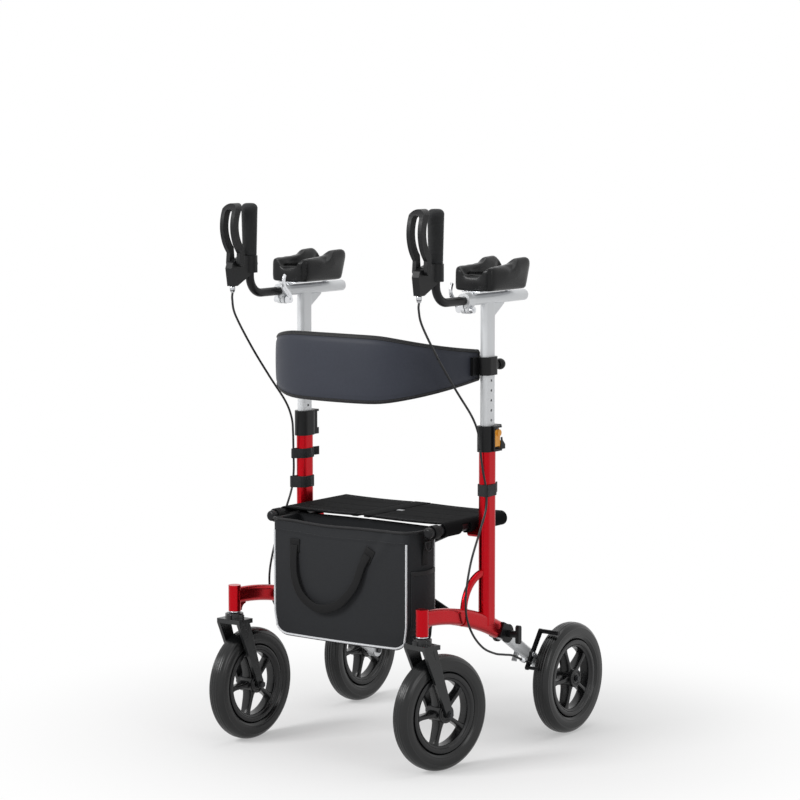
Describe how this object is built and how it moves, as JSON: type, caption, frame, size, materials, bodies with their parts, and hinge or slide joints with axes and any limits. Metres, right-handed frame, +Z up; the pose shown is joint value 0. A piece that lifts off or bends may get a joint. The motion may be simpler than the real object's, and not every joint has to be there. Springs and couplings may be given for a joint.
{
  "type": "upright walker",
  "caption": "Wheeled upright walker with forearm troughs, bent hand grips, brake levers, a folding cross brace, a cloth seat, a bag and a back belt.",
  "frame": {"origin": "on the floor under the middle of the footprint", "axes": "+Z up, -Y ahead of the person walking, +X to that person's left"},
  "size_m": [0.65, 0.7252, 1.2135],
  "materials": {
    "red_paint": "metallic red coat",
    "silver": "satin anodised",
    "steel": "zinc plated",
    "black_metal": "black powder coat",
    "black_plastic": "fine moulded grain",
    "foam": "soft foam",
    "tyre": "moulded rubber",
    "leather": "soft grain",
    "cloth": "woven",
    "belt": "padded cloth",
    "yellow": "moulded"
  },
  "bodies": {
    "frame_left": {"side_frame_left": "red_paint", "height_collar_left": "black_plastic", "leg_knuckle_left": "black_plastic", "brake_cable_left": "black_plastic"},
    "upper_left": {"upper_post_left": "silver", "clamp_bolt_left": "steel", "arm_plate_left": "steel", "arm_pad_left": "leather", "backrest_clamp_left": "black_plastic"},
    "handle_left": {"handle_bar_left": "black_metal", "hand_grip_left": "foam", "brake_housing_left": "black_plastic"},
    "lever_left": {"brake_lever_left": "black_plastic"},
    "cam_left": {"clamp_lever_left": "steel"},
    "latch_left": {"height_latch_left": "yellow"},
    "knob_left": {"backrest_knob_left": "black_plastic"},
    "caster_left": {"caster_fork_left": "black_plastic", "front_axle_left": "steel"},
    "front_wheel_left": {"front_tyre_left": "tyre", "front_rim_left": "black_plastic"},
    "leg_left": {"rear_leg_left": "silver", "rear_axle_left": "steel"},
    "rear_wheel_left": {"rear_tyre_left": "tyre", "rear_rim_left": "black_plastic"},
    "wing_left": {"wing_knob_left": "black_plastic"},
    "brake_left": {"brake_arm_left": "black_metal"},
    "frame_right": {"side_frame_right": "red_paint", "height_collar_right": "black_plastic", "leg_knuckle_right": "black_plastic", "brake_cable_right": "black_plastic"},
    "upper_right": {"upper_post_right": "silver", "clamp_bolt_right": "steel", "arm_plate_right": "steel", "arm_pad_right": "leather", "backrest_clamp_right": "black_plastic"},
    "handle_right": {"handle_bar_right": "black_metal", "hand_grip_right": "foam", "brake_housing_right": "black_plastic"},
    "lever_right": {"brake_lever_right": "black_plastic"},
    "cam_right": {"clamp_lever_right": "steel"},
    "latch_right": {"height_latch_right": "yellow"},
    "knob_right": {"backrest_knob_right": "black_plastic"},
    "caster_right": {"caster_fork_right": "black_plastic", "front_axle_right": "steel"},
    "front_wheel_right": {"front_tyre_right": "tyre", "front_rim_right": "black_plastic"},
    "leg_right": {"rear_leg_right": "silver", "rear_axle_right": "steel"},
    "rear_wheel_right": {"rear_tyre_right": "tyre", "rear_rim_right": "black_plastic"},
    "wing_right": {"wing_knob_right": "black_plastic"},
    "brake_right": {"brake_arm_right": "black_metal"},
    "brace_a": {"cross_brace_a": "black_metal", "brace_pin": "steel"},
    "brace_b": {"cross_brace_b": "black_metal"},
    "seat_half_left": {"seat_left": "cloth"},
    "seat_half_right": {"seat_right": "cloth"},
    "bag": {"bag": "cloth"},
    "backrest": {"backrest": "belt"}
  },
  "joints": [
    {"name": "fold", "type": "hinge", "parent": "frame_left", "child": "brace_a", "pos_m": [0.216, -0.094, 0.31], "axis": [0, 1, 0], "range_deg": [0, 46]},
    {"name": "brace_cross", "type": "hinge", "parent": "brace_a", "child": "brace_b", "pos_m": [0, -0.094, 0.40935], "axis": [0, 1, 0], "range_deg": [-92, 0]},
    {"name": "fold_right", "type": "hinge", "parent": "brace_b", "child": "frame_right", "pos_m": [-0.216, -0.094, 0.31], "axis": [0, 1, 0], "range_deg": [0, 46]},
    {"name": "seat_fold_right", "type": "hinge", "parent": "brace_a", "child": "seat_half_right", "pos_m": [-0.216, -0.034, 0.5087], "axis": [0, 1, 0], "range_deg": [-126.5, 0]},
    {"name": "seat_fold_left", "type": "hinge", "parent": "brace_b", "child": "seat_half_left", "pos_m": [0.216, -0.034, 0.5087], "axis": [0, 1, 0], "range_deg": [0, 126.5]},
    {"name": "bag_fold", "type": "slide", "parent": "frame_left", "child": "bag", "axis": [0.4816, 0, 0.8764], "range_m": [0, 0.2854], "deforming": ["bag"]},
    {"name": "backrest_fold", "type": "slide", "parent": "upper_left", "child": "backrest", "axis": [1, 0, 0], "range_m": [0, 0.1374], "deforming": ["backrest"]},
    {"name": "height_left", "type": "slide", "parent": "frame_left", "child": "upper_left", "axis": [0, 0, 1], "range_m": [-0.1, 0.15], "deforming": ["brake_cable_left"]},
    {"name": "latch_left", "type": "hinge", "parent": "frame_left", "child": "latch_left", "pos_m": [0.2535, -0.0015, 0.683], "axis": [-1, 0, 0], "range_deg": [0, 50]},
    {"name": "handle_left", "type": "slide", "parent": "upper_left", "child": "handle_left", "axis": [0, -1, 0], "range_m": [0, 0.07]},
    {"name": "cam_left", "type": "hinge", "parent": "upper_left", "child": "cam_left", "pos_m": [0.2355, -0.1145, 0.99], "axis": [0, -1, 0], "range_deg": [0, 90]},
    {"name": "brake_lever_left", "type": "hinge", "parent": "handle_left", "child": "lever_left", "pos_m": [0.2535, -0.282, 1.08283], "axis": [-1, 0, 0], "range_deg": [0, 10.5], "stiffness_Nm_per_rad": 2, "springref_deg": -5.73},
    {"name": "backrest_knob_left", "type": "hinge", "parent": "upper_left", "child": "knob_left", "pos_m": [0.2535, 0.006, 0.862], "axis": [0, 1, 0], "continuous": true},
    {"name": "caster_swivel_left", "type": "hinge", "parent": "frame_left", "child": "caster_left", "pos_m": [0.258, -0.287, 0.29], "axis": [0, 0, 1], "continuous": true},
    {"name": "front_spin_left", "type": "hinge", "parent": "caster_left", "child": "front_wheel_left", "pos_m": [0.26881, -0.23614, 0.127], "axis": [0.9781, -0.2079, 0], "continuous": true},
    {"name": "leg_fold_left", "type": "hinge", "parent": "frame_left", "child": "leg_left", "pos_m": [0.2535, 0.03, 0.25787], "axis": [1, 0, 0], "range_deg": [-60, 0]},
    {"name": "rear_spin_left", "type": "hinge", "parent": "leg_left", "child": "rear_wheel_left", "pos_m": [0.2955, 0.236, 0.127], "axis": [1, 0, 0], "continuous": true},
    {"name": "wing_turn_left", "type": "hinge", "parent": "frame_left", "child": "wing_left", "pos_m": [0.2735, 0.03, 0.25787], "axis": [1, 0, 0], "continuous": true},
    {"name": "brake_arm_left", "type": "hinge", "parent": "leg_left", "child": "brake_left", "pos_m": [0.267, 0.1296, 0.19459], "axis": [-1, 0, 0], "range_deg": [0, 3.7]},
    {"name": "height_right", "type": "slide", "parent": "frame_right", "child": "upper_right", "axis": [0, 0, 1], "range_m": [-0.1, 0.15], "deforming": ["brake_cable_right"]},
    {"name": "latch_right", "type": "hinge", "parent": "frame_right", "child": "latch_right", "pos_m": [-0.2535, -0.0015, 0.683], "axis": [-1, 0, 0], "range_deg": [0, 50]},
    {"name": "handle_right", "type": "slide", "parent": "upper_right", "child": "handle_right", "axis": [0, -1, 0], "range_m": [0, 0.07]},
    {"name": "cam_right", "type": "hinge", "parent": "upper_right", "child": "cam_right", "pos_m": [-0.2355, -0.1145, 0.99], "axis": [0, 1, 0], "range_deg": [0, 90]},
    {"name": "brake_lever_right", "type": "hinge", "parent": "handle_right", "child": "lever_right", "pos_m": [-0.2535, -0.282, 1.08283], "axis": [-1, 0, 0], "range_deg": [0, 10.5], "stiffness_Nm_per_rad": 2, "springref_deg": -5.73},
    {"name": "backrest_knob_right", "type": "hinge", "parent": "upper_right", "child": "knob_right", "pos_m": [-0.2535, 0.006, 0.862], "axis": [0, 1, 0], "continuous": true},
    {"name": "caster_swivel_right", "type": "hinge", "parent": "frame_right", "child": "caster_right", "pos_m": [-0.258, -0.287, 0.29], "axis": [0, 0, 1], "continuous": true},
    {"name": "front_spin_right", "type": "hinge", "parent": "caster_right", "child": "front_wheel_right", "pos_m": [-0.25618, -0.23503, 0.127], "axis": [0.9994, -0.0349, 0], "continuous": true},
    {"name": "leg_fold_right", "type": "hinge", "parent": "frame_right", "child": "leg_right", "pos_m": [-0.2535, 0.03, 0.25787], "axis": [1, 0, 0], "range_deg": [-60, 0]},
    {"name": "rear_spin_right", "type": "hinge", "parent": "leg_right", "child": "rear_wheel_right", "pos_m": [-0.2955, 0.236, 0.127], "axis": [1, 0, 0], "continuous": true},
    {"name": "wing_turn_right", "type": "hinge", "parent": "frame_right", "child": "wing_right", "pos_m": [-0.2735, 0.03, 0.25787], "axis": [1, 0, 0], "continuous": true},
    {"name": "brake_arm_right", "type": "hinge", "parent": "leg_right", "child": "brake_right", "pos_m": [-0.267, 0.1296, 0.19459], "axis": [-1, 0, 0], "range_deg": [0, 3.7]}
  ],
  "couplings": [
    {"joint": "brace_cross", "follows": "fold", "ratio": -2},
    {"joint": "fold_right", "follows": "fold", "ratio": 1},
    {"joint": "seat_fold_right", "follows": "fold", "ratio": -2.75},
    {"joint": "seat_fold_left", "follows": "fold", "ratio": 2.75},
    {"joint": "bag_fold", "follows": "fold", "m_per_rad": 0.35548},
    {"joint": "backrest_fold", "follows": "fold", "m_per_rad": 0.17114},
    {"joint": "brake_arm_left", "follows": "brake_lever_left", "ratio": 0.3523},
    {"joint": "brake_arm_right", "follows": "brake_lever_right", "ratio": 0.3523},
    {"joint": "height_right", "follows": "height_left", "ratio": 1}
  ]
}
